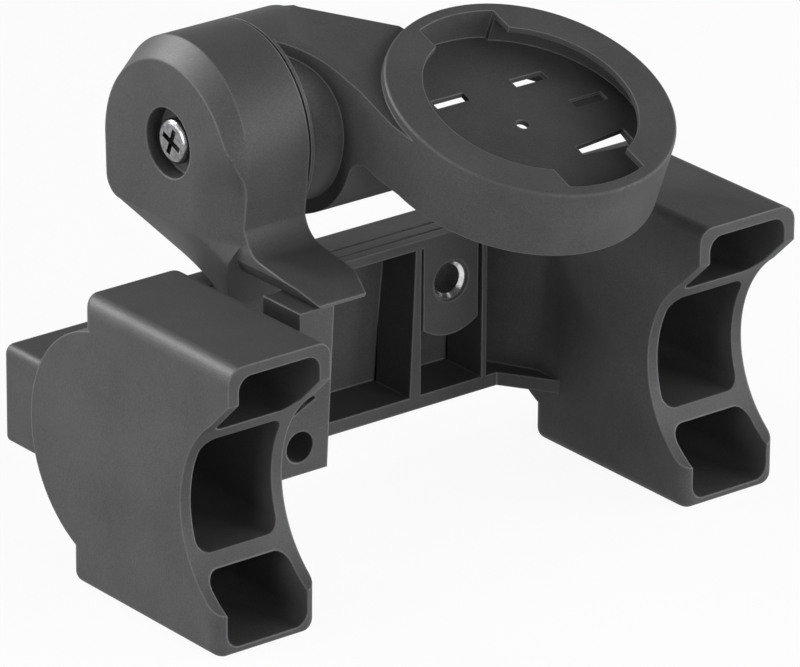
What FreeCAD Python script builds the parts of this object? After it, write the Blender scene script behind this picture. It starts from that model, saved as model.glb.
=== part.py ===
import FreeCAD, Part
import math
import os
import re

import Sketcher

# Handlebar mount for a bike computer: a ribbed bracket that saddles the bar with two blocks,
# a riser beside the left block, and an arm with a quarter-turn cup that tilts on the riser.
# Millimetres. X runs along the handlebar, Z is up, the rider's side is -Y.
# The origin lies on the handlebar's axis, midway between the two saddle blocks.

driving = {
    # Handlebar and the two saddle blocks
    "bar_radius": 15.9,
    "block_inner": 30.84,
    "block_width": 16.4,
    "block_top": 21.8,
    "block_bottom": -19.8,
    "block_back": 40.2,
    "hook_front": 5.6,
    "hook_low": 16.6,
    "saddle_high_angle": 53.2,
    "saddle_low_angle": 59.6,
    "shoulder_back": 37.4,
    "shoulder_round": 0.8,
    "block_corner_round": 1.5,
    "block_edge_round": 2.4,
    "block_inner_round": 2.0,
    "bulge_radius": 16.6,
    "bulge_centre_back": 32.0,
    "bulge_centre_height": 1.0,
    # Cored cells of a block
    "cell_wall": 1.7,
    "cell_roof": 1.5,
    "cell_floor": 1.4,
    "web_wall": 1.9,
    "upper_web_height": 9.9,
    "lower_web_height": -8.3,
    "cell_back": 35.6,
    "cell_round": 2.0,
    # Bridge between the blocks, a channel open to the front
    "bridge_front": 41.9,
    "bridge_depth": 9.0,
    "bridge_top": 13.3,
    "bridge_bottom": -11.3,
    "bridge_roof": 1.4,
    "bridge_floor": 1.9,
    "bay_half": 25.0,
    "bay_foot_back": 50.0,
    "bay_foot_side": 39.0,
    "bay_roof_back": 48.8,
    "bay_roof_side": 36.6,
    "bridge_flare": 4.9,
    "bridge_flare_front": 7.5,
    "inner_rib_place": 12.25,
    "outer_rib_place": 23.65,
    "inner_rib_wall": 0.9,
    "inner_rib_lean": 1.0,
    "outer_rib_wall": 0.8,
    "boss_place": 17.8,
    "boss_height": 6.1,
    "boss_round": 7.8,
    "boss_half_width": 4.7,
    "insert_radius": 2.95,
    "insert_length": 6.5,
    "insert_bore_radius": 2.1,
    "insert_recess": 0.4,
    "insert_mouth": 0.5,
    "insert_clearance": 0.04,
    "groove_width": 0.6,
    "groove_depth": 0.25,
    "groove_front": 43.4,
    "groove_pitch": 2.3,
    "groove_half_length": 29.0,
    # Beam along the back of the blocks
    "beam_half_length": 47.0,
    "beam_back": 54.4,
    "beam_seat": 44.0,
    "beam_top": 9.0,
    "beam_bottom": -5.0,
    "beam_round": 1.2,
    # Post beside the left block, which carries the toe of the riser
    "post_front": 18.5,
    "post_depth": 7.9,
    "post_top": 19.9,
    "post_bottom": -2.7,
    "post_right": 20.3,
    "post_foot_right": 21.4,
    "post_left": 25.9,
    "post_slot_right": 23.3,
    "post_slot_height": 7.5,
    "post_slot_slope": 3.5,
    "post_bore_place": 25.9,
    "post_bore_height": 1.2,
    "post_bore_radius": 2.15,
    # Riser
    "pivot_back": 45.7,
    "pivot_height": 35.4,
    "head_radius": 14.0,
    "riser_left": 26.8,
    "riser_width": 12.6,
    "head_low": 24.2,
    "head_front_inset": 1.2,
    "head_back_inset": 0.2,
    "head_corner_round": 3.0,
    "head_bevel": 2.6,
    "face_radius": 13.57,
    "face_back": 0.36,
    "face_drop": 2.43,
    "face_front_inset": 0.7,
    "neck_base_left": 17.2,
    "neck_base_right": 14.2,
    "neck_base_inset": 0.3,
    "tab_thick": 3.6,
    "tab_half_width": 4.6,
    "tab_round": 4.6,
    "foot_left": 24.4,
    "toe_front": 18.0,
    "toe_sole_gap": 0.1,
    "toe_nose": 0.4,
    "toe_slope_back": 21.6,
    "toe_crown": 22.0,
    "foot_sweep_front": 29.1,
    "foot_sweep_low": 23.2,
    "foot_sweep_radius": 4.3,
    "foot_sweep_back": 32.7,
    "foot_sweep_top": 27.4,
    "foot_root": 35.5,
    "foot_undercut_height": 2.2,
    "foot_undercut_width": 1.5,
    "recess_radius": 4.8,
    "recess_depth": 2.6,
    # Arm and quarter-turn cup, measured from the pivot axis with the cup level
    "rest_tilt": 21.2,
    "seam_gap": 0.3,
    "hub_radius": 14.0,
    "hub_rim": 0.5,
    "hub_core_radius": 12.0,
    "friction_pad_radius": 7.0,
    "friction_pad_gap": 0.05,
    "cup_place": 13.6,
    "cup_reach": 22.0,
    "cup_radius": 19.8,
    "cup_rim_height": 13.65,
    "cup_height": 10.3,
    "arm_drop": 1.3,
    "arm_fall": 9.0,
    "arm_root_front": 0.5,
    "arm_wall": 7.0,
    "arm_wall_front": 12.0,
    "arm_wall_radius": 14.0,
    "arm_taper_front": 19.0,
    "arm_taper": 1.6,
    "arm_beyond": 4.5,
    "ramp_left": 10.5,
    "ramp_right": 4.5,
    "arm_right": 6.5,
    "arm_right_front": 2.2,
    "arm_back_left": 6.0,
    "arm_back": 7.1,
    "opening_radius": 14.6,
    "tab_thickness": 0.9,
    "undercut_radius": 17.4,
    "notch_radius": 18.0,
    "notch_half_width": 6.2,
    "floor_depth": 4.6,
    "floor_thickness": 0.8,
    "cup_wall": 2.2,
    "cup_rim_round": 0.5,
    "slit_length": 5.4,
    "slit_width": 1.6,
    "slit_place": 6.65,
    "slit_back": 7.5,
    "side_slit_place": 12.0,
    "side_slit_back": 1.1,
    "side_slit_depth": 0.4,
    "wedge_place": 8.5,
    "wedge_front": 7.2,
    "wedge_length": 8.6,
    "wedge_wide": 3.2,
    "wedge_narrow": 1.7,
    "centre_hole_radius": 0.9,
    # Pivot screw and its nut
    "screw_radius": 1.75,
    "screw_clearance": 0.08,
    "screw_head_radius": 3.1,
    "screw_head_height": 2.1,
    "screw_head_round": 0.8,
    "screw_length": 20.8,
    "cross_length": 3.8,
    "cross_width": 0.8,
    "cross_depth": 1.2,
    "nut_across_flats": 6.0,
    "nut_height": 2.8,
    "nut_clearance": 0.05,
    # Screw that holds the riser to the left boss
    "fixing_radius": 2.0,
    "fixing_length": 6.5,
    "fixing_head_radius": 3.4,
    "fixing_head_height": 2.3,
    "fixing_clearance": 0.08,
}

os.makedirs("parts", exist_ok=True)
doc = FreeCAD.newDocument("BikeComputerMount")
sheet = doc.addObject("Spreadsheet::Sheet", "Sizes")
for row, (name, size) in enumerate(driving.items(), start=1):
    sheet.set("A%d" % row, name)
    sheet.set("B%d" % row, str(size))
    sheet.setAlias("B%d" % row, name)
doc.recompute()


# A formula written with the names above, as the document understands it.
def formula(text):
    return re.sub(r"[a-z]\w*", lambda word: "Sizes." + word[0] if word[0] in driving else word[0], text)


# What a formula is worth now.
def worth(text):
    return float(probe.evalExpression(formula(text)))


probe = doc.addObject("App::FeaturePython", "Probe")


def new_body(label):
    body = doc.addObject("PartDesign::Body", label)
    body.Label = label
    return body


def new_sketch(body, role, offset, name):
    sketch = body.newObject("Sketcher::SketchObject", name)
    planes = [feature for feature in body.Origin.OriginFeatures if feature.Role == role]
    sketch.AttachmentSupport = [(planes[0], "")]
    sketch.MapMode = "FlatFace"
    sketch.setExpression("AttachmentOffset.Base.z", formula(offset))
    sketch.Visibility = False
    return sketch


# Ties one point of the sketch to its two formulas.
def place(sketch, edge, end, across, up):
    for kind, text, axis in (("DistanceX", across, -2), ("DistanceY", up, -1)):
        if text == "0":
            sketch.addConstraint(Sketcher.Constraint("PointOnObject", edge, end, axis))
        else:
            rule = Sketcher.Constraint(kind, -1, 1, edge, end, worth(text))
            index = sketch.addConstraint(rule)
            sketch.setExpression("Constraints[%d]" % index, formula(text))


def fix_radius(sketch, edge, radius):
    index = sketch.addConstraint(Sketcher.Constraint("Radius", edge, worth(radius)))
    sketch.setExpression("Constraints[%d]" % index, formula(radius))


def add_circle(sketch, across, up, radius):
    centre = FreeCAD.Vector(worth(across), worth(up), 0)
    edge = sketch.addGeometry(Part.Circle(centre, FreeCAD.Vector(0, 0, 1), worth(radius)))
    place(sketch, edge, 3, across, up)
    fix_radius(sketch, edge, radius)


# The arc of this radius from one point to another, less than half a circle.
def arc_between(here, there, radius, turn):
    chord = there - here
    lift = math.sqrt(max(radius ** 2 - (chord.Length / 2) ** 2, 0))
    side = FreeCAD.Vector(-chord.y, chord.x, 0).normalize()
    centre = (here + there) / 2 + side * (lift if turn == "left" else -lift)
    first, last = (here, there) if turn == "left" else (there, here)
    start = math.atan2(first.y - centre.y, first.x - centre.x)
    stop = math.atan2(last.y - centre.y, last.x - centre.x)
    if stop < start:
        stop += 2 * math.pi
    return Part.ArcOfCircle(Part.Circle(centre, FreeCAD.Vector(0, 0, 1), radius), start, stop)


# A closed outline. Each corner is its two formulas, with a radius and the way it turns
# where an arc leads on to the next corner.
def add_outline(sketch, corners):
    points = [FreeCAD.Vector(worth(corner[0]), worth(corner[1]), 0) for corner in corners]
    edges = []
    for index, corner in enumerate(corners):
        here = points[index]
        there = points[(index + 1) % len(corners)]
        if len(corner) == 2:
            edges.append((sketch.addGeometry(Part.LineSegment(here, there)), 1, 2))
        elif corner[3] == "left":
            arc = arc_between(here, there, worth(corner[2]), "left")
            edges.append((sketch.addGeometry(arc), 1, 2))
        else:
            arc = arc_between(here, there, worth(corner[2]), "right")
            edges.append((sketch.addGeometry(arc), 2, 1))
    for index, corner in enumerate(corners):
        edge, start, _ = edges[index]
        before, _, end = edges[index - 1]
        sketch.addConstraint(Sketcher.Constraint("Coincident", before, end, edge, start))
        place(sketch, edge, start, corner[0], corner[1])
        if len(corner) == 4:
            fix_radius(sketch, edge, corner[2])


def rectangle(left, right, low, high):
    return [(left, low), (right, low), (right, high), (left, high)]


# A window with its four corners rounded.
def rounded_window(left, right, low, high, radius):
    inset = " + " + radius
    outset = " - " + radius
    return [
        (left + inset, low), (right + outset, low, radius, "left"),
        (right, low + inset), (right, high + outset, radius, "left"),
        (right + outset, high), (left + inset, high, radius, "left"),
        (left, high + outset), (left, low + inset, radius, "left"),
    ]


def add_pad(body, sketch, length, name, reverse=False, middle=False):
    feature = body.newObject("PartDesign::Pad", name)
    feature.Profile = sketch
    feature.setExpression("Length", formula(length))
    feature.Reversed = reverse
    feature.Midplane = middle
    doc.recompute()
    return feature


# A cut that must take something away: along the sketch's normal, or against it.
def add_pocket(body, sketch, length, name, along=False, middle=False):
    before = body.Shape.Volume
    feature = body.newObject("PartDesign::Pocket", name)
    feature.Profile = sketch
    feature.setExpression("Length", formula(length))
    feature.Reversed = along
    feature.Midplane = middle
    doc.recompute()
    if not body.Shape.Volume < before:
        raise ValueError(name + " cuts nothing")
    return feature


def add_turned(body, sketch, name):
    feature = body.newObject("PartDesign::Revolution", name)
    feature.Profile = sketch
    feature.ReferenceAxis = (sketch, ["H_Axis"])
    feature.Angle = 360
    doc.recompute()
    return feature


def add_loft(body, first, second, name, kind="PartDesign::AdditiveLoft"):
    feature = body.newObject(kind, name)
    feature.Profile = first
    feature.Sections = [second]
    feature.Ruled = True
    doc.recompute()
    return feature


# Rounds the edges that pass through the given points.
def add_fillet(body, points, radius, name, kind="PartDesign::Fillet"):
    base = body.Tip
    spots = [Part.Vertex(*[worth(text) for text in point]) for point in points]
    local = base.Shape
    chosen = []
    for index, edge in enumerate(local.Edges, start=1):
        if any(edge.distToShape(spot)[0] < 0.01 for spot in spots):
            chosen.append("Edge%d" % index)
    if not chosen:
        raise ValueError(name + " finds no edge")
    feature = body.newObject(kind, name)
    feature.Base = (base, chosen)
    feature.setExpression("Radius" if kind == "PartDesign::Fillet" else "Size", formula(radius))
    doc.recompute()
    return feature


# Saddle block: the profile that hugs the bar, with three cored cells behind the saddle.
block_outer = "block_inner + block_width"
bulge_low = "bulge_centre_height - sqrt(bulge_radius^2 - (block_back - bulge_centre_back)^2)"
bulge_high = "bulge_centre_height + sqrt(bulge_radius^2 - (shoulder_back - bulge_centre_back)^2)"


def make_block():
    body = new_body("right_block")
    profile = new_sketch(body, "YZ_Plane", "block_inner", "BlockProfile")
    saddle_low = ("bar_radius * cos(saddle_low_angle)", "-bar_radius * sin(saddle_low_angle)")
    saddle_high = ("bar_radius * cos(saddle_high_angle)", "bar_radius * sin(saddle_high_angle)")
    add_outline(profile, [
        (saddle_low[0], "block_bottom"),
        ("block_back", "block_bottom"),
        ("block_back", bulge_low, "bulge_radius", "left"),
        ("shoulder_back", bulge_high),
        ("shoulder_back", "block_top"),
        ("hook_front", "block_top"),
        ("hook_front", "hook_low"),
        (saddle_high[0], saddle_high[1], "bar_radius", "right"),
        saddle_low,
    ])
    add_pad(body, profile, "block_width", "BlockPad")
    middle = "block_inner + block_width / 2"
    add_fillet(body, [(middle, "shoulder_back", "block_top")], "shoulder_round", "ShoulderRound")
    low_corners = [(middle, "block_back", "block_bottom"), (middle, saddle_low[0], "block_bottom")]
    add_fillet(body, low_corners, "block_corner_round", "CornerRound")
    along = "(bar_radius + block_back) / 2"
    add_fillet(body, [(block_outer, along, "block_top")], "block_edge_round", "OuterEdgeRound")
    other_edges = [("block_inner", along, "block_top"), ("block_inner", along, "block_bottom"),
                   (block_outer, along, "block_bottom")]
    add_fillet(body, other_edges, "block_inner_round", "OtherEdgeRounds")
    left = "block_inner + cell_wall"
    right = block_outer + " - cell_wall"
    upper_web = ("upper_web_height - web_wall / 2", "upper_web_height + web_wall / 2")
    lower_web = ("lower_web_height - web_wall / 2", "lower_web_height + web_wall / 2")
    cells = new_sketch(body, "XZ_Plane", "-cell_back", "Cells")
    for low, high in (
        ("block_bottom + cell_floor", lower_web[0]),
        (lower_web[1], upper_web[0]),
        (upper_web[1], "block_top - cell_roof"),
    ):
        add_outline(cells, rounded_window(left, right, low, high, "cell_round"))
    add_pocket(body, cells, "cell_back + bar_radius", "CellCores", along=True)
    return body


# Bridge: a channel open to the front, flared into the blocks, with ribs and two bosses.
bridge_back = "bridge_front + bridge_depth"
bay_low = "bridge_bottom + bridge_floor"
bay_high = "bridge_top - bridge_roof"


def make_bridge():
    body = new_body("bridge")
    plan = new_sketch(body, "XY_Plane", "bridge_bottom", "BridgePlan")
    add_outline(plan, [
        ("-block_inner", bridge_back),
        ("-block_inner", "bridge_front - bridge_flare_front"),
        ("-block_inner + bridge_flare", "bridge_front"),
        ("block_inner - bridge_flare", "bridge_front"),
        ("block_inner", "bridge_front - bridge_flare_front"),
        ("block_inner", bridge_back),
    ])
    add_pad(body, plan, "bridge_top - bridge_bottom", "BridgePad")
    plans = []
    for level, label, back, side in (
        (bay_low, "BayFoot", "bay_foot_back", "bay_foot_side"),
        (bay_high, "BayRoof", "bay_roof_back", "bay_roof_side"),
    ):
        bay = new_sketch(body, "XY_Plane", level, label)
        add_outline(bay, [
            ("-block_inner", "bridge_front - 2 * bridge_flare_front"),
            ("block_inner", "bridge_front - 2 * bridge_flare_front"),
            ("block_inner", side),
            ("bay_half", back),
            ("-bay_half", back),
            ("-block_inner", side),
        ])
        plans.append(bay)
    add_loft(body, plans[0], plans[1], "Bay", "PartDesign::SubtractiveLoft")

    rib_end = "(bay_foot_back + bay_roof_back) / 2"
    rib_start = "-(" + rib_end + ")"
    rib_reach = rib_end + " - bridge_front"
    features = []
    for label, middle, wall, lean in (
        ("InnerRib", "inner_rib_place", "inner_rib_wall", " - inner_rib_lean"),
        ("OuterRib", "outer_rib_place", "outer_rib_wall", ""),
    ):
        rib = new_sketch(body, "XZ_Plane", rib_start, label + "Profile")
        foot = bay_low + " - bridge_floor / 2"
        roof = bay_high + " + bridge_roof / 2"
        add_outline(rib, [
            (middle + " - " + wall + " / 2" + lean, foot),
            (middle + " + " + wall + " / 2", foot),
            (middle + " + " + wall + " / 2", roof),
            (middle + " - " + wall + " / 2", roof),
        ])
        features.append(add_pad(body, rib, rib_reach, label))
    boss = new_sketch(body, "XZ_Plane", rib_start, "BossProfile")
    boss_low = "boss_height - sqrt(boss_round^2 - boss_half_width^2)"
    add_outline(boss, [
        ("boss_place - boss_half_width", bay_high + " + bridge_roof / 2"),
        ("boss_place - boss_half_width", boss_low, "boss_round", "left"),
        ("boss_place + boss_half_width", boss_low),
        ("boss_place + boss_half_width", bay_high + " + bridge_roof / 2"),
    ])
    features.append(add_pad(body, boss, rib_reach, "Boss"))
    hole = new_sketch(body, "XZ_Plane", "-bridge_front", "InsertHole")
    add_circle(hole, "boss_place", "boss_height", "insert_radius + insert_clearance")
    features.append(add_pocket(body, hole, "insert_recess + insert_length", "InsertSeat"))
    mirrored = body.newObject("PartDesign::Mirrored", "LeftRibs")
    mirrored.Originals = features
    planes = [feature for feature in body.Origin.OriginFeatures if feature.Role == "YZ_Plane"]
    mirrored.MirrorPlane = (planes[0], [""])
    body.Tip = mirrored
    doc.recompute()

    grooves = new_sketch(body, "YZ_Plane", "0", "GrooveProfile")
    for step in ("0", "groove_pitch"):
        front = "groove_front + " + step
        corners = rectangle(front, front + " + groove_width", "bridge_top - groove_depth", "bridge_top + 1")
        add_outline(grooves, corners)
    add_pocket(body, grooves, "2 * groove_half_length", "Grooves", middle=True)
    return body


def make_beam():
    body = new_body("beam")
    plan = new_sketch(body, "XY_Plane", "beam_bottom", "BeamPlan")
    add_outline(plan, [
        ("-beam_half_length", "beam_seat"),
        ("-block_inner", "beam_seat"),
        ("-block_inner", "bay_foot_back"),
        ("block_inner", "bay_foot_back"),
        ("block_inner", "beam_seat"),
        ("beam_half_length", "beam_seat"),
        ("beam_half_length", "beam_back"),
        ("-beam_half_length", "beam_back"),
    ])
    add_pad(body, plan, "beam_top - beam_bottom", "BeamPad")
    ends = [(side + "beam_half_length", "(beam_seat + beam_back) / 2", height)
            for side in ("", "-") for height in ("beam_top", "beam_bottom")]
    add_fillet(body, ends, "beam_round", "BeamRound")
    return body


# Post: an upright plate with a bore, joined to the left block below a slot.
def make_post():
    body = new_body("post")
    profile = new_sketch(body, "XZ_Plane", "-(post_front + post_depth)", "PostProfile")
    add_outline(profile, [
        ("-block_inner", "post_bottom"),
        ("-post_foot_right", "post_bottom"),
        ("-post_right", "post_top"),
        ("-post_left", "post_top"),
        ("-post_left", "post_slot_height + (post_left - post_slot_right)"),
        ("-post_slot_right", "post_slot_height"),
        ("-block_inner", "post_slot_height - post_slot_slope"),
    ])
    add_pad(body, profile, "post_depth", "PostPad")
    bore = new_sketch(body, "XZ_Plane", "-post_front", "PostBoreCircle")
    add_circle(bore, "-post_bore_place", "post_bore_height", "post_bore_radius")
    add_pocket(body, bore, "post_depth", "PostBore")
    return body


def make_bracket():
    right = make_block()
    left = doc.addObject("Part::Mirroring", "left_block")
    left.Source = right
    left.Normal = (1, 0, 0)
    bracket = doc.addObject("Part::MultiFuse", "bracket")
    bracket.Shapes = [right, left, make_bridge(), make_beam(), make_post()]
    bracket.Refine = True
    bracket.Label = "bracket"
    doc.recompute()
    return bracket


# Riser: the round head on its neck, and the toe that rests on the post.
riser_right = "-riser_left + riser_width"


# The head seen along the bar: straight sides on a flat foot, rounded over the top.
def head_outline(across, up, radius, front_inset):
    back = across + " + " + radius + " - head_back_inset"
    return [
        (across + " - " + radius + " + " + front_inset, "head_low"),
        (back + " - head_corner_round", "head_low", "head_corner_round", "left"),
        (back, "head_low + head_corner_round"),
        (across + " + " + radius, up, radius, "left"),
        (across, up + " + " + radius, radius, "left"),
        (across + " - " + radius, up),
    ]


def make_riser():
    body = new_body("riser")
    foot = new_sketch(body, "YZ_Plane", "-foot_left", "FootProfile")
    sole = "post_top + toe_sole_gap"
    add_outline(foot, [
        ("foot_root", sole),
        ("toe_front", sole),
        ("toe_front", sole + " + toe_nose"),
        ("toe_slope_back", "toe_crown"),
        ("foot_sweep_front", "foot_sweep_low", "foot_sweep_radius", "left"),
        ("foot_sweep_back", "foot_sweep_top"),
        ("foot_root", "foot_sweep_top"),
    ])
    add_pad(body, foot, "(" + riser_right + ") + foot_left", "FootPad")
    undercut = new_sketch(body, "XZ_Plane", "-toe_front", "FootUndercuts")
    for side, inward in (("-foot_left", " + "), (riser_right, " - ")):
        add_outline(undercut, [
            (side + inward + "foot_undercut_width", sole),
            (side, sole + " + foot_undercut_height"),
            (side, sole),
        ])
    add_pocket(body, undercut, "foot_root - toe_front", "FootSides")

    seam = "-riser_left + head_bevel"
    head = new_sketch(body, "YZ_Plane", seam, "HeadProfile")
    add_outline(head, head_outline("pivot_back", "pivot_height", "head_radius", "head_front_inset"))
    add_pad(body, head, "riser_width - head_bevel", "HeadPad")
    rim = new_sketch(body, "YZ_Plane", seam, "HeadRim")
    add_outline(rim, head_outline("pivot_back", "pivot_height", "head_radius", "head_front_inset"))
    face = new_sketch(body, "YZ_Plane", "-riser_left", "HeadFace")
    add_outline(face, head_outline(
        "pivot_back + face_back", "pivot_height - face_drop", "face_radius", "face_front_inset"))
    add_loft(body, rim, face, "HeadBevel")

    tab_front = "bridge_front - tab_thick"
    neck_back = bridge_back + " - neck_base_inset"
    neck_top = new_sketch(body, "XY_Plane", "head_low", "NeckTop")
    face_front = "pivot_back + face_back - face_radius + face_front_inset"
    face_end = "pivot_back + face_back + face_radius - head_back_inset - head_corner_round"
    add_outline(neck_top, [
        ("-riser_left", face_front),
        (riser_right, "pivot_back - head_radius + head_front_inset"),
        (riser_right, "pivot_back + head_radius - head_back_inset - head_corner_round"),
        ("-riser_left", face_end),
    ])
    neck_base = new_sketch(body, "XY_Plane", "bridge_top", "NeckBase")
    add_outline(neck_base, [
        ("-boss_place - tab_half_width", tab_front),
        ("-neck_base_right", tab_front),
        ("-neck_base_right", neck_back),
        ("-neck_base_left", neck_back),
    ])
    add_loft(body, neck_top, neck_base, "Neck")
    tab = new_sketch(body, "XZ_Plane", "-bridge_front", "TabProfile")
    add_outline(tab, [
        ("-boss_place - tab_half_width", "bridge_top"),
        ("-boss_place - tab_half_width", "boss_height", "tab_round", "left"),
        ("-boss_place", "boss_height - tab_round", "tab_round", "left"),
        ("-boss_place + tab_half_width", "boss_height"),
        ("-boss_place + tab_half_width", "bridge_top"),
    ])
    add_pad(body, tab, "tab_thick", "Tab")
    hole = new_sketch(body, "XZ_Plane", "-bridge_front", "TabHole")
    add_circle(hole, "-boss_place", "boss_height", "fixing_radius + fixing_clearance")
    add_pocket(body, hole, "tab_thick", "TabBore", along=True)

    recess = new_sketch(body, "YZ_Plane", "-riser_left", "RecessCircle")
    add_circle(recess, "pivot_back", "pivot_height", "recess_radius")
    add_pocket(body, recess, "recess_depth", "ScrewRecess", along=True)
    bore = new_sketch(body, "YZ_Plane", "-riser_left", "PivotBoreCircle")
    add_circle(bore, "pivot_back", "pivot_height", "screw_radius + screw_clearance")
    add_pocket(body, bore, "riser_width", "PivotBore", along=True)
    return body


# Arm with its hub and the quarter-turn cup, drawn with the cup level and the pivot axis as X.
hub_face = "-riser_left + riser_width + seam_gap"
cup_front = "-cup_reach"
arm_front = "-cup_reach - arm_beyond"
cup_base = "cup_rim_height - cup_height"


def slit(across, back):
    middle = cup_front + " + " + back
    return rectangle(across + " - slit_length / 2", across + " + slit_length / 2",
                     middle + " - slit_width / 2", middle + " + slit_width / 2")


def make_arm():
    body = new_body("arm_ring")
    body.Label = "arm_ring"
    side = new_sketch(body, "YZ_Plane", hub_face, "ArmSide")
    arm_top = "cup_rim_height - arm_drop"
    add_outline(side, [
        ("0", "hub_radius"),
        ("-arm_fall", arm_top),
        (arm_front, arm_top),
        (arm_front, cup_base),
        ("-hub_radius - (" + cup_base + ")", cup_base, cup_base, "right"),
        ("-hub_radius", "0", "hub_radius", "left"),
        ("0", "-hub_radius", "hub_radius", "left"),
        ("hub_radius", "0", "hub_radius", "left"),
    ])
    add_pad(body, side, "cup_place - (" + hub_face + ")", "ArmPad")
    plan = new_sketch(body, "XY_Plane", "0", "ArmPlan")
    add_outline(plan, rectangle("-2 * cup_reach", "2 * cup_reach", "-2 * cup_reach", "cup_reach"))
    hub_side = hub_face + " + hub_rim"
    add_outline(plan, [
        (hub_side + " - hub_rim / 2", "hub_radius + hub_rim"),
        (hub_side + " - hub_rim / 2", "-arm_root_front", ),
        (hub_side, "-arm_root_front", "arm_wall_radius", "right"),
        ("-arm_wall", "-arm_wall_front"),
        ("-arm_wall", "-arm_taper_front"),
        ("-arm_wall + arm_taper", arm_front),
        ("cup_place", arm_front),
        ("cup_place", cup_front),
        ("arm_right", "-arm_right_front"),
        ("-arm_back_left", "arm_back"),
        ("-arm_back_left", "hub_radius + hub_rim"),
    ])
    add_pocket(body, plan, "4 * hub_radius", "ArmWaist", middle=True)
    ramp = new_sketch(body, "XZ_Plane", "0", "RampProfile")
    add_outline(ramp, [
        ("-ramp_left", "hub_radius"),
        ("-ramp_right", arm_top),
        ("cup_place + cup_radius", arm_top),
        ("cup_place + cup_radius", "2 * hub_radius"),
        ("-ramp_left", "2 * hub_radius"),
    ])
    add_pocket(body, ramp, "4 * hub_radius", "ArmRamp", middle=True)

    hub = new_sketch(body, "XY_Plane", "0", "HubSection")
    hub_round = "(hub_radius - hub_core_radius)"
    pad_face = hub_face + " - seam_gap + friction_pad_gap"
    add_outline(hub, [
        (pad_face, "0"),
        ("-arm_back_left", "0"),
        ("-arm_back_left", "hub_core_radius"),
        (hub_side + " + " + hub_round, "hub_core_radius", hub_round, "right"),
        (hub_side, "hub_radius"),
        (hub_face, "hub_radius"),
        (hub_face, "friction_pad_radius"),
        (pad_face, "friction_pad_radius"),
    ])
    add_turned(body, hub, "Hub")

    cup = new_sketch(body, "XY_Plane", cup_base, "CupCircle")
    add_circle(cup, "cup_place", cup_front, "cup_radius")
    add_pad(body, cup, "cup_height", "CupPad")
    rim_edge = ("cup_place", cup_front + " - cup_radius", "cup_rim_height")
    add_fillet(body, [rim_edge], "cup_rim_round", "CupRimRound")
    under = new_sketch(body, "XY_Plane", cup_base, "CupUnderside")
    add_circle(under, "cup_place", cup_front, "cup_radius - cup_wall")
    add_pocket(body, under, "cup_height - floor_depth - floor_thickness", "UndersideCore", along=True)
    undercut = new_sketch(body, "XY_Plane", "cup_rim_height - floor_depth", "UndercutCircle")
    add_circle(undercut, "cup_place", cup_front, "undercut_radius")
    add_pocket(body, undercut, "floor_depth - tab_thickness", "Undercut", along=True)
    mouth = new_sketch(body, "XY_Plane", "cup_rim_height", "MouthOutline")
    notch_end = "sqrt(notch_radius^2 - notch_half_width^2)"
    notch_root = "sqrt(opening_radius^2 - notch_half_width^2)"
    right = "cup_place + notch_half_width"
    left = "cup_place - notch_half_width"
    add_outline(mouth, [
        (right, cup_front + " + " + notch_root),
        (right, cup_front + " + " + notch_end, "notch_radius", "left"),
        (left, cup_front + " + " + notch_end),
        (left, cup_front + " + " + notch_root, "opening_radius", "left"),
        ("cup_place - opening_radius", cup_front, "opening_radius", "left"),
        (left, cup_front + " - " + notch_root),
        (left, cup_front + " - " + notch_end, "notch_radius", "left"),
        (right, cup_front + " - " + notch_end),
        (right, cup_front + " - " + notch_root, "opening_radius", "left"),
        ("cup_place + opening_radius", cup_front, "opening_radius", "left"),
    ])
    add_pocket(body, mouth, "floor_depth", "Mouth")
    slits = new_sketch(body, "XY_Plane", "cup_rim_height - floor_depth", "FloorSlits")
    for across, back in (
        ("cup_place - slit_place", "slit_back"),
        ("cup_place + slit_place", "slit_back"),
    ):
        add_outline(slits, slit(across, back))
    wedge_left = "cup_place + wedge_place - wedge_length / 2"
    wedge_right = "cup_place + wedge_place + wedge_length / 2"
    wedge_middle = cup_front + " - wedge_front"
    add_outline(slits, [
        (wedge_left, wedge_middle + " - wedge_narrow / 2"),
        (wedge_right, wedge_middle + " - wedge_wide / 2"),
        (wedge_right, wedge_middle + " + wedge_wide / 2"),
        (wedge_left, wedge_middle + " + wedge_narrow / 2"),
    ])
    add_circle(slits, "cup_place", cup_front, "centre_hole_radius")
    add_pocket(body, slits, "floor_thickness", "Slits")
    groove = new_sketch(body, "XY_Plane", "cup_rim_height - floor_depth", "FloorGroove")
    add_outline(groove, slit("cup_place + side_slit_place", "side_slit_back"))
    add_pocket(body, groove, "side_slit_depth", "SideSlit")
    bore = new_sketch(body, "YZ_Plane", pad_face, "ArmBoreCircle")
    add_circle(bore, "0", "0", "screw_radius + screw_clearance")
    add_pocket(body, bore, "screw_length", "ArmBore", along=True)
    seat = new_sketch(body, "YZ_Plane", nut_face, "NutSeatHexagon")
    add_outline(seat, hexagon("nut_across_flats / 2 + nut_clearance"))
    add_pocket(body, seat, "cup_place - (" + nut_face + ")", "NutSeat", along=True)
    put_on_pivot(body)
    return body


# Six corners with a flat on top, from half the width across the flats.
def hexagon(half_flats):
    half = "(" + half_flats + ")"
    corner = half + " / cos(30)"
    return [
        ("-" + corner, "0"), ("-" + corner + " / 2", "-" + half), (corner + " / 2", "-" + half),
        (corner, "0"), (corner + " / 2", half), ("-" + corner + " / 2", half),
    ]


# Puts what is drawn about the pivot axis in its place, tilted as it rests.
def put_on_pivot(body):
    tilt = FreeCAD.Rotation(FreeCAD.Vector(1, 0, 0), worth("rest_tilt"))
    body.Placement = FreeCAD.Placement(FreeCAD.Vector(0, 0, 0), tilt)
    body.setExpression("Placement.Base.y", formula("pivot_back"))
    body.setExpression("Placement.Base.z", formula("pivot_height"))


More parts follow.
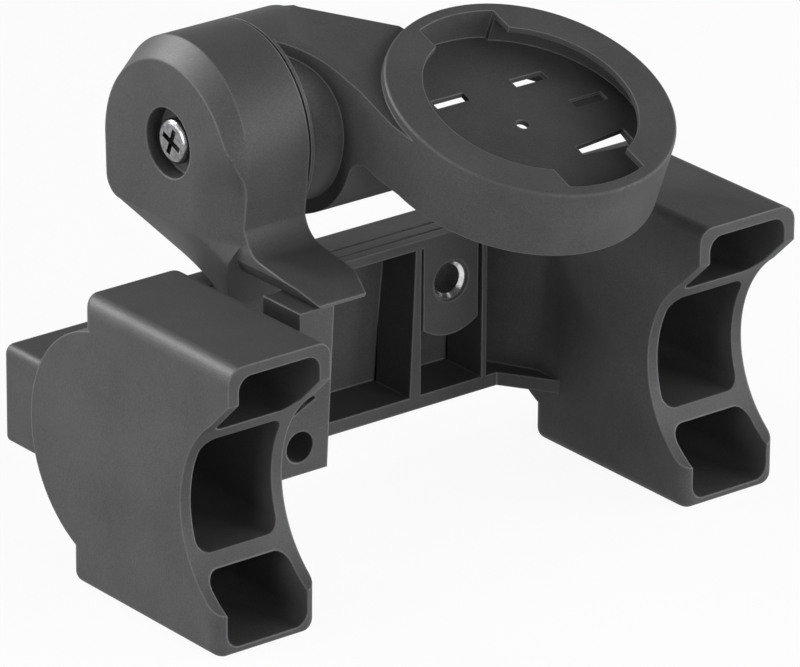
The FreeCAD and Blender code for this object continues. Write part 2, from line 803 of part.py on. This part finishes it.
def plus_sign(length, width):
    far = length + " / 2"
    near = width + " / 2"
    return [
        (far, "-" + near), (far, near), (near, near), (near, far), ("-" + near, far), ("-" + near, near),
        ("-" + far, near), ("-" + far, "-" + near), ("-" + near, "-" + near), ("-" + near, "-" + far),
        (near, "-" + far), (near, "-" + near),
    ]


# Pan-head screw along X from the underside of its head, with a cross recess.
def make_screw(label, under_head, length, radius, head_radius, head_height):
    body = new_body(label)
    section = new_sketch(body, "XY_Plane", "0", label + "_section")
    add_outline(section, [
        (under_head + " - " + head_height, "0"),
        (under_head + " + " + length, "0"),
        (under_head + " + " + length, radius),
        (under_head, radius),
        (under_head, head_radius),
        (under_head + " - " + head_height + " + screw_head_round", head_radius, "screw_head_round", "left"),
        (under_head + " - " + head_height, head_radius + " - screw_head_round"),
    ])
    add_turned(body, section, label + "_turned")
    cross = new_sketch(body, "YZ_Plane", under_head + " - " + head_height, label + "_cross")
    add_outline(cross, plus_sign("cross_length", "cross_width"))
    add_pocket(body, cross, "cross_depth", label + "_recess", along=True)
    return body


recess_seat = "-riser_left + recess_depth"
nut_face = recess_seat + " + screw_length - nut_height"


def make_pivot_hardware():
    screw = make_screw("pivot_screw", recess_seat, "screw_length", "screw_radius",
                       "screw_head_radius", "screw_head_height")
    put_on_pivot(screw)
    nut = new_body("pivot_nut")
    section = new_sketch(nut, "YZ_Plane", nut_face, "NutHexagon")
    add_outline(section, hexagon("nut_across_flats / 2"))
    add_circle(section, "0", "0", "screw_radius + nut_clearance")
    add_pad(nut, section, "nut_height", "NutPad")
    put_on_pivot(nut)


# Screw through the riser's tab into the left boss: drawn along X, turned to run along Y.
def make_riser_screw():
    screw = make_screw("riser_screw", "0", "fixing_length + tab_thick", "fixing_radius",
                       "fixing_head_radius", "fixing_head_height")
    turn = FreeCAD.Rotation(FreeCAD.Vector(0, 0, 1), 90)
    screw.Placement = FreeCAD.Placement(FreeCAD.Vector(0, 0, 0), turn)
    screw.setExpression("Placement.Base.x", formula("-boss_place"))
    screw.setExpression("Placement.Base.y", formula("bridge_front - tab_thick"))
    screw.setExpression("Placement.Base.z", formula("boss_height"))


# Threaded brass inserts, one in each boss.
def make_inserts():
    insert = new_body("right_insert")
    section = new_sketch(insert, "XZ_Plane", "-bridge_front - insert_recess", "InsertRing")
    add_circle(section, "boss_place", "boss_height", "insert_radius")
    add_circle(section, "boss_place", "boss_height", "insert_bore_radius")
    add_pad(insert, section, "insert_length", "InsertPad", reverse=True)
    mouth = ("boss_place + insert_bore_radius", "bridge_front + insert_recess", "boss_height")
    add_fillet(insert, [mouth], "insert_mouth", "InsertMouth", "PartDesign::Chamfer")
    mirrored = doc.addObject("Part::Mirroring", "left_insert")
    mirrored.Source = insert
    mirrored.Normal = (1, 0, 0)
    pair = doc.addObject("Part::Compound", "threaded_inserts")
    pair.Links = [insert, mirrored]
    pair.Label = "threaded_inserts"


make_bracket()
make_riser()
make_arm()
make_pivot_hardware()
make_riser_screw()
make_inserts()
doc.recompute()

for item in doc.Objects:
    if any(word in item.State for word in ("Invalid", "Error")):
        raise ValueError(item.Name + " failed: " + ", ".join(item.State))
nodes = ("bracket", "riser", "arm_ring", "pivot_screw", "pivot_nut", "riser_screw", "threaded_inserts")
for label in nodes:
    piece = doc.getObjectsByLabel(label)[0]
    shape = piece.Shape
    if shape.isNull() or not shape.isValid():
        raise ValueError(label + " has no valid shape")
    print(label, len(shape.Solids), "solid", round(shape.Volume), "mm3")
    shape.exportStep("parts/" + label + ".step")
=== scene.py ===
import math

import bmesh
import bpy
import numpy as np
from mathutils import Matrix, Vector


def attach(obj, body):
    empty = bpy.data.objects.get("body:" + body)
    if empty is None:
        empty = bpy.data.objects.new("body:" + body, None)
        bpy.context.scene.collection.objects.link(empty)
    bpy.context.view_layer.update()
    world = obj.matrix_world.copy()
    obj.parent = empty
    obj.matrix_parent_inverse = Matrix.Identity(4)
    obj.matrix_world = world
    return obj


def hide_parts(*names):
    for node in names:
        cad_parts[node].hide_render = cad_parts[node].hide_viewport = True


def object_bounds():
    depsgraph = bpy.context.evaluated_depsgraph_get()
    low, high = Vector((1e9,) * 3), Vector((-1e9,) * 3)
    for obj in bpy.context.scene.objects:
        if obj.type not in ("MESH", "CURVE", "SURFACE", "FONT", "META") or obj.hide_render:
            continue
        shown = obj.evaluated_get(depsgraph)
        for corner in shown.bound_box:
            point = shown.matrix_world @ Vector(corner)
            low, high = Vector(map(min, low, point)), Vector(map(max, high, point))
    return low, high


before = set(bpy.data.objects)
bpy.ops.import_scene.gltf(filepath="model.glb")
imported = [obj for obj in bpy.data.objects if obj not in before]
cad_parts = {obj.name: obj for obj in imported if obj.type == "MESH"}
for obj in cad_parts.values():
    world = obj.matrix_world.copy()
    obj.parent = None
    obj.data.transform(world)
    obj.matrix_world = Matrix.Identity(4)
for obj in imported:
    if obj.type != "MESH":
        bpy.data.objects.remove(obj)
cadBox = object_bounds()
mm = 0.001
acrossDepth, acrossHeight = 1, 2     # the Y and Z places in a point


# Small helpers for node trees

def newMaterial(name):
    material = bpy.data.materials.new(name)
    material.use_nodes = True
    nodes = material.node_tree.nodes
    nodes.clear()
    return material, nodes, material.node_tree.links


def newShader(nodes, links):
    shader = nodes.new("ShaderNodeBsdfPrincipled")
    output = nodes.new("ShaderNodeOutputMaterial")
    links.new(shader.outputs["BSDF"], output.inputs["Surface"])
    return shader


def blendOfTwo(nodes, links, source, low, high, firstGrey, lastGrey):
    ramp = nodes.new("ShaderNodeValToRGB")
    for element, place, grey in zip(ramp.color_ramp.elements, (low, high), (firstGrey, lastGrey)):
        element.position = place
        element.color = (*grey, 1)
    links.new(source, ramp.inputs["Fac"])
    return ramp.outputs["Color"]


def mappedTo(nodes, links, source, toLow, toHigh, fromLow=0, fromHigh=1):
    span = nodes.new("ShaderNodeMapRange")
    span.inputs["From Min"].default_value = fromLow
    span.inputs["From Max"].default_value = fromHigh
    span.inputs["To Min"].default_value = toLow
    span.inputs["To Max"].default_value = toHigh
    links.new(source, span.inputs["Value"])
    return span.outputs["Result"]


def noiseOnObject(nodes, links, scale, detail, roughness):
    coords = nodes.new("ShaderNodeTexCoord")
    noise = nodes.new("ShaderNodeTexNoise")
    noise.inputs["Scale"].default_value = scale
    noise.inputs["Detail"].default_value = detail
    noise.inputs["Roughness"].default_value = roughness
    links.new(coords.outputs["Object"], noise.inputs["Vector"])
    return noise.outputs["Fac"]


# Moulded plastic: spark-eroded grain as fine bump and speckle, cloudy flow in colour and gloss.
# Each noise is its cells per metre, its detail and its roughness.
mouldedPlastic = {
    "cloud": (90, 4, 0.55),
    "speckle": (5200, 2, 0.6),
    "grain": (3400, 3, 0.6),     # about 0.3 mm
    "darkGrey": (0.036, 0.036, 0.037),
    "paleGrey": (0.046, 0.046, 0.0475),
    "darkBelow": 0.35,           # where the cloud is all dark and all pale
    "paleAbove": 0.68,
    "speckleLow": 0.3,           # the part of the speckle's noise that counts
    "speckleHigh": 0.7,
    "speckleDark": 0.80,
    "specklePale": 1.22,
    # paler grey painted onto convex and concave edges alike: a painted highlight, not wear
    "edgeHighlightGrey": (0.120, 0.120, 0.123),
    "highlightStart": 0.995,          # cosine of the turned normal where the painted edge highlight starts
    "highlightFull": 0.90,            # and where it is full
    "edgeSamples": 5,
    "bracketEdge": 0.40 * mm,
    "riserEdge": 0.45 * mm,
    "armEdge": 0.26 * mm,
    "grainHeight": 0.05 * mm,
    "grainStrength": 0.7,
    "roughnessLow": 0.50,
    "roughnessHigh": 0.62,
    "specular": 0.19,
}


# The edges look eased over this radius through the shading alone, and a paler grey painted along them
# is a painted highlight.
def makePlastic(name, edgeRadius):
    spec = mouldedPlastic
    material, nodes, links = newMaterial(name)
    shader = newShader(nodes, links)

    cloud = noiseOnObject(nodes, links, *spec["cloud"])
    tone = blendOfTwo(nodes, links, cloud, spec["darkBelow"], spec["paleAbove"],
                      spec["darkGrey"], spec["paleGrey"])
    speckle = noiseOnObject(nodes, links, *spec["speckle"])
    amount = mappedTo(nodes, links, speckle, spec["speckleDark"], spec["specklePale"],
                      spec["speckleLow"], spec["speckleHigh"])
    grained = nodes.new("ShaderNodeVectorMath")
    grained.operation = "SCALE"
    links.new(tone, grained.inputs[0])
    links.new(amount, grained.inputs["Scale"])

    edges = nodes.new("ShaderNodeBevel")
    edges.samples = spec["edgeSamples"]
    edges.inputs["Radius"].default_value = edgeRadius
    surface = nodes.new("ShaderNodeNewGeometry")
    turned = nodes.new("ShaderNodeVectorMath")
    turned.operation = "DOT_PRODUCT"
    links.new(edges.outputs["Normal"], turned.inputs[0])
    links.new(surface.outputs["Normal"], turned.inputs[1])
    # painted highlight: the paler edge grey comes in where the turned normal leaves the surface's own
    paintedHighlight = mappedTo(nodes, links, turned.outputs["Value"], 0, 1, spec["highlightStart"], spec["highlightFull"])
    colour = nodes.new("ShaderNodeMix")
    colour.data_type = "RGBA"
    links.new(paintedHighlight, colour.inputs["Factor"])
    links.new(grained.outputs["Vector"], colour.inputs["A"])
    colour.inputs["B"].default_value = (*spec["edgeHighlightGrey"], 1)
    links.new(colour.outputs["Result"], shader.inputs["Base Color"])

    gloss = mappedTo(nodes, links, cloud, spec["roughnessHigh"], spec["roughnessLow"])
    links.new(gloss, shader.inputs["Roughness"])

    grain = noiseOnObject(nodes, links, *spec["grain"])
    bump = nodes.new("ShaderNodeBump")
    bump.inputs["Strength"].default_value = spec["grainStrength"]
    bump.inputs["Distance"].default_value = spec["grainHeight"]
    links.new(grain, bump.inputs["Height"])
    links.new(edges.outputs["Normal"], bump.inputs["Normal"])
    links.new(bump.outputs["Normal"], shader.inputs["Normal"])
    shader.inputs["Specular IOR Level"].default_value = spec["specular"]
    return material


# Bright metal: zinc-plated screws and turned inserts, with fine scratches in colour and gloss
brightMetal = {
    "steel": (0.27, 0.27, 0.278),
    "tarnish": (0.13, 0.13, 0.135),
    "screwRoughness": 0.24,
    "turned": (0.74, 0.74, 0.73),
    "turnedDull": (0.52, 0.52, 0.51),
    "insertRoughness": 0.2,
    "scratches": (1800, 3, 0.6),
    "dullBelow": 0.3,
    "brightAbove": 0.6,
    "roughest": 1.4,             # both times the metal's own roughness
    "smoothest": 0.8,
}


def makeMetal(name, dull, bright, roughness):
    spec = brightMetal
    material, nodes, links = newMaterial(name)
    shader = newShader(nodes, links)
    shader.inputs["Metallic"].default_value = 1.0
    scratches = noiseOnObject(nodes, links, *spec["scratches"])
    tone = blendOfTwo(nodes, links, scratches, spec["dullBelow"], spec["brightAbove"], dull, bright)
    links.new(tone, shader.inputs["Base Color"])
    gloss = mappedTo(nodes, links, scratches,
                     roughness * spec["roughest"], roughness * spec["smoothest"])
    links.new(gloss, shader.inputs["Roughness"])
    return material


# How a node's mesh becomes one smooth skin
skin = {
    "merge": 0.002 * mm,
    "flatAngle": math.radians(0.1),
    "sharpAngle": math.radians(30),
    "flatWeight": 100,
}

# The riser's left face turns gently back towards its front edge below the pivot.
riserFace = {
    "left": -26.8 * mm,
    "right": -21.0 * mm,         # only what lies left of here is bent
    "turnStart": 40.6 * mm,      # where the turn begins, and how far forward it goes on
    "turnLength": 8.1 * mm,
    "turnDepth": 2.6 * mm,
    "turnPower": 1.5,
    "fadeTop": 39.5 * mm,        # it fades in from here downwards
    "fadeLength": 8.5 * mm,
    "neckTop": 24.2 * mm,        # and out again below the head
    "neckFade": 8.0 * mm,
    "backStep": 0.35 * mm,
    "heightStep": 0.6 * mm,
    "heightLow": 14.0 * mm,
    "margin": 0.01 * mm,
}


# Cuts the left front part of the riser's skin along even planes, so that it can be bent.
# The first cut, at the fade's top, goes through the whole left side.
def sliceRiser(shell):
    spec = riserFace
    depthEdge = spec["turnStart"] + spec["margin"]
    heightEdge = spec["fadeTop"] + spec["margin"]
    depths = np.arange(spec["turnStart"], spec["turnStart"] - spec["turnLength"], -spec["backStep"])
    heights = np.arange(spec["heightLow"], spec["fadeTop"], spec["heightStep"])
    cuts = [(acrossHeight, spec["fadeTop"], False)]
    cuts += [(acrossDepth, place, True) for place in depths]
    cuts += [(acrossHeight, place, True) for place in heights]
    for axis, place, below in cuts:
        centre, normal = [0, 0, 0], [0, 0, 0]
        centre[axis] = place
        normal[axis] = 1
        firstDepth = axis == acrossDepth and place == spec["turnStart"]
        near = []
        for face in shell.faces:
            middle = face.calc_center_bounds()
            started = middle.y < depthEdge or firstDepth
            if middle.x < spec["right"] and (not below or (started and middle.z < heightEdge)):
                near.append(face)
        part = {piece for face in near for piece in (face, *face.edges, *face.verts)}
        bmesh.ops.bisect_plane(shell, geom=list(part), dist=skin["merge"],
                               plane_co=centre, plane_no=normal)


# No point lies further left than the face, which moves right by the depth times
# the way forward to the turn's power, times a smooth fade over the height.
def bendRiser(mesh):
    spec = riserFace
    points = np.empty(len(mesh.vertices) * 3)
    mesh.vertices.foreach_get("co", points)
    points = points.reshape(-1, 3)
    forward = np.clip((spec["turnStart"] - points[:, acrossDepth]) / spec["turnLength"], 0, 1)
    fade = np.clip((spec["fadeTop"] - points[:, acrossHeight]) / spec["fadeLength"], 0, 1)
    fade = fade * fade * (3 - 2 * fade)
    fade *= np.clip(1 - (spec["neckTop"] - points[:, acrossHeight]) / spec["neckFade"], 0, 1)
    limit = spec["left"] + spec["turnDepth"] * forward ** spec["turnPower"] * fade
    points[:, 0] = np.maximum(points[:, 0], limit)
    mesh.vertices.foreach_set("co", points.ravel())
    mesh.update()


# Corners are merged, the node's stored normals no longer fit and are dropped, and curves are smooth.
def smoothCopy(nodeName, body, material, slices=None, bend=None):
    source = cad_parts[nodeName]
    shell = bmesh.new()
    shell.from_mesh(source.data)
    bmesh.ops.remove_doubles(shell, verts=shell.verts, dist=skin["merge"])
    if slices:
        bmesh.ops.dissolve_limit(shell, angle_limit=skin["flatAngle"],
                                 verts=shell.verts, edges=shell.edges)
        slices(shell)
    mesh = bpy.data.meshes.new(nodeName + "Skin")
    shell.to_mesh(mesh)
    shell.free()
    mesh.attributes.remove(mesh.attributes["custom_normal"])
    if bend:
        bend(mesh)
    mesh.polygons.foreach_set("use_smooth", np.ones(len(mesh.polygons), dtype=bool))
    mesh.set_sharp_from_angle(angle=skin["sharpAngle"])
    mesh.materials.clear()
    mesh.materials.append(material)
    piece = bpy.data.objects.new(nodeName + "Skin", mesh)
    bpy.context.scene.collection.objects.link(piece)
    weighted = piece.modifiers.new("FlatStaysFlat", "WEIGHTED_NORMAL")
    weighted.weight = skin["flatWeight"]
    weighted.keep_sharp = True
    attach(piece, body)
    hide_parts(nodeName)


bracketPlastic = makePlastic("bracketPlastic", mouldedPlastic["bracketEdge"])
riserPlastic = makePlastic("riserPlastic", mouldedPlastic["riserEdge"])
armPlastic = makePlastic("armPlastic", mouldedPlastic["armEdge"])
screwSteel = makeMetal("screwSteel", brightMetal["tarnish"], brightMetal["steel"],
                       brightMetal["screwRoughness"])
insertSteel = makeMetal("insertSteel", brightMetal["turnedDull"], brightMetal["turned"],
                        brightMetal["insertRoughness"])

smoothCopy("bracket", "base", bracketPlastic)
smoothCopy("riser", "base", riserPlastic, sliceRiser, bendRiser)
smoothCopy("arm_ring", "arm", armPlastic)
for nodeName, metal in (("pivot_screw", screwSteel), ("pivot_nut", screwSteel),
                        ("riser_screw", screwSteel), ("threaded_inserts", insertSteel)):
    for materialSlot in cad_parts[nodeName].material_slots:
        materialSlot.material = metal
print("pieces dressed")


# From the middle towards a place that many degrees right of the front and that many up
def towards(azimuth, elevation):
    turn, rise = math.radians(azimuth), math.radians(elevation)
    return Vector((math.sin(turn) * math.cos(rise), -math.cos(turn) * math.cos(rise), math.sin(rise)))


# Camera as the photograph was taken: a long lens, well back, a little above
camera = {
    "azimuth": -38.33,
    "elevation": 22.68,
    "roll": 0.39,
    "distance": 1015.7 * mm,
    "aimRight": -18.76 * mm,
    "aimUp": 15.51 * mm,
    "clipStart": 10 * mm,
    "focalPixels": 7803.2,
    "imageWidth": 800,
    "sensorWidth": 36.0,
}


def placeCamera():
    spec = camera
    back = towards(spec["azimuth"], spec["elevation"])
    azimuth, roll = math.radians(spec["azimuth"]), math.radians(spec["roll"])
    level = Vector((math.cos(azimuth), math.sin(azimuth), 0))
    upright = back.cross(level)
    right = level * math.cos(roll) + upright * math.sin(roll)
    up = upright * math.cos(roll) - level * math.sin(roll)
    place = right * spec["aimRight"] + up * spec["aimUp"] + back * spec["distance"]
    lens = bpy.data.cameras.new("studioCamera")
    lens.sensor_width = spec["sensorWidth"]
    lens.lens = spec["focalPixels"] * spec["sensorWidth"] / spec["imageWidth"]
    lens.clip_start = spec["clipStart"]
    eye = bpy.data.objects.new("studioCamera", lens)
    eye.matrix_world = Matrix.Translation(place) @ Matrix((right, up, back)).transposed().to_4x4()
    bpy.context.scene.collection.objects.link(eye)
    bpy.context.scene.camera = eye


placeCamera()


# Studio: low soft boxes round the front and the left, two small ones behind, and a pale floor.
# The last box is seen by glossy rays alone, for the lit edges.
studio = {
    "floorHeight": cadBox[0][2] - 0.05 * mm,
    "floorHalf": 1.5,
    "floorColour": (0.86, 0.86, 0.86),
    "floorSelfLight": 0.93,
    "worldLight": 0.0,
    "aim": (0, 20 * mm, 20 * mm),
    "boxes": [
        # name, azimuth, elevation, distance, size, power in watts, seen by diffuse rays
        ("frontBox", -8, 12, 0.65, 0.40, 3.0, True),
        ("rightFrontBox", 38, 12, 0.65, 0.40, 3.4, True),
        ("rightBox", 72, 12, 0.65, 0.40, 2.4, True),
        ("leftBox", -90, 8, 0.65, 0.40, 4.2, True),
        ("leftBackBox", -130, 14, 0.65, 0.40, 1.5, True),
        ("backHighBox", -143, 52, 0.65, 0.16, 0.6, True),
        ("edgeGleam", -152, 35, 0.65, 0.13, 10.0, False),
    ],
}


# One for camera, glossy and transmission rays, and nought for the others
def seenDirectly(nodes, links):
    path = nodes.new("ShaderNodeLightPath")
    either = nodes.new("ShaderNodeMath")
    either.operation = "MAXIMUM"
    links.new(path.outputs["Is Camera Ray"], either.inputs[0])
    links.new(path.outputs["Is Glossy Ray"], either.inputs[1])
    anyOfThree = nodes.new("ShaderNodeMath")
    anyOfThree.operation = "MAXIMUM"
    links.new(either.outputs[0], anyOfThree.inputs[0])
    links.new(path.outputs["Is Transmission Ray"], anyOfThree.inputs[1])
    return anyOfThree.outputs[0]


def mixShaders(nodes, links, amount, first, second, output):
    mix = nodes.new("ShaderNodeMixShader")
    links.new(amount, mix.inputs["Fac"])
    links.new(first.outputs[0], mix.inputs[1])
    links.new(second.outputs[0], mix.inputs[2])
    links.new(mix.outputs[0], nodes.new(output).inputs["Surface"])


def buildFloor():
    half, height = studio["floorHalf"], studio["floorHeight"]
    mesh = bpy.data.meshes.new("studioFloor")
    corners = [(-half, -half, height), (half, -half, height),
               (half, half, height), (-half, half, height)]
    mesh.from_pydata(corners, [], [(0, 1, 2, 3)])
    floor = bpy.data.objects.new("studioFloor", mesh)
    bpy.context.scene.collection.objects.link(floor)
    material, nodes, links = newMaterial("paleFloor")
    diffuse = nodes.new("ShaderNodeBsdfDiffuse")
    diffuse.inputs["Color"].default_value = (*studio["floorColour"], 1)
    glow = nodes.new("ShaderNodeEmission")
    amount = nodes.new("ShaderNodeMath")
    amount.operation = "MULTIPLY"
    amount.inputs[1].default_value = studio["floorSelfLight"]
    links.new(seenDirectly(nodes, links), amount.inputs[0])
    mixShaders(nodes, links, amount.outputs[0], diffuse, glow, "ShaderNodeOutputMaterial")
    mesh.materials.append(material)


def buildWorld():
    world = bpy.data.worlds.new("studioWorld")
    bpy.context.scene.world = world
    world.use_nodes = True
    nodes, links = world.node_tree.nodes, world.node_tree.links
    nodes.clear()
    soft = nodes.new("ShaderNodeBackground")
    soft.inputs["Strength"].default_value = studio["worldLight"]
    white = nodes.new("ShaderNodeBackground")
    mixShaders(nodes, links, seenDirectly(nodes, links), soft, white, "ShaderNodeOutputWorld")


def hangBoxes():
    for name, azimuth, elevation, distance, size, power, diffuse in studio["boxes"]:
        light = bpy.data.lights.new(name, "AREA")
        light.shape = "SQUARE"
        light.size = size
        light.energy = power
        lamp = bpy.data.objects.new(name, light)
        away = towards(azimuth, elevation)
        lamp.location = Vector(studio["aim"]) + away * distance
        lamp.rotation_euler = away.to_track_quat("Z", "Y").to_euler()
        lamp.visible_diffuse = diffuse
        bpy.context.scene.collection.objects.link(lamp)


buildFloor()
buildWorld()
hangBoxes()
bpy.context.scene.view_settings.view_transform = "Standard"
print("studio built")
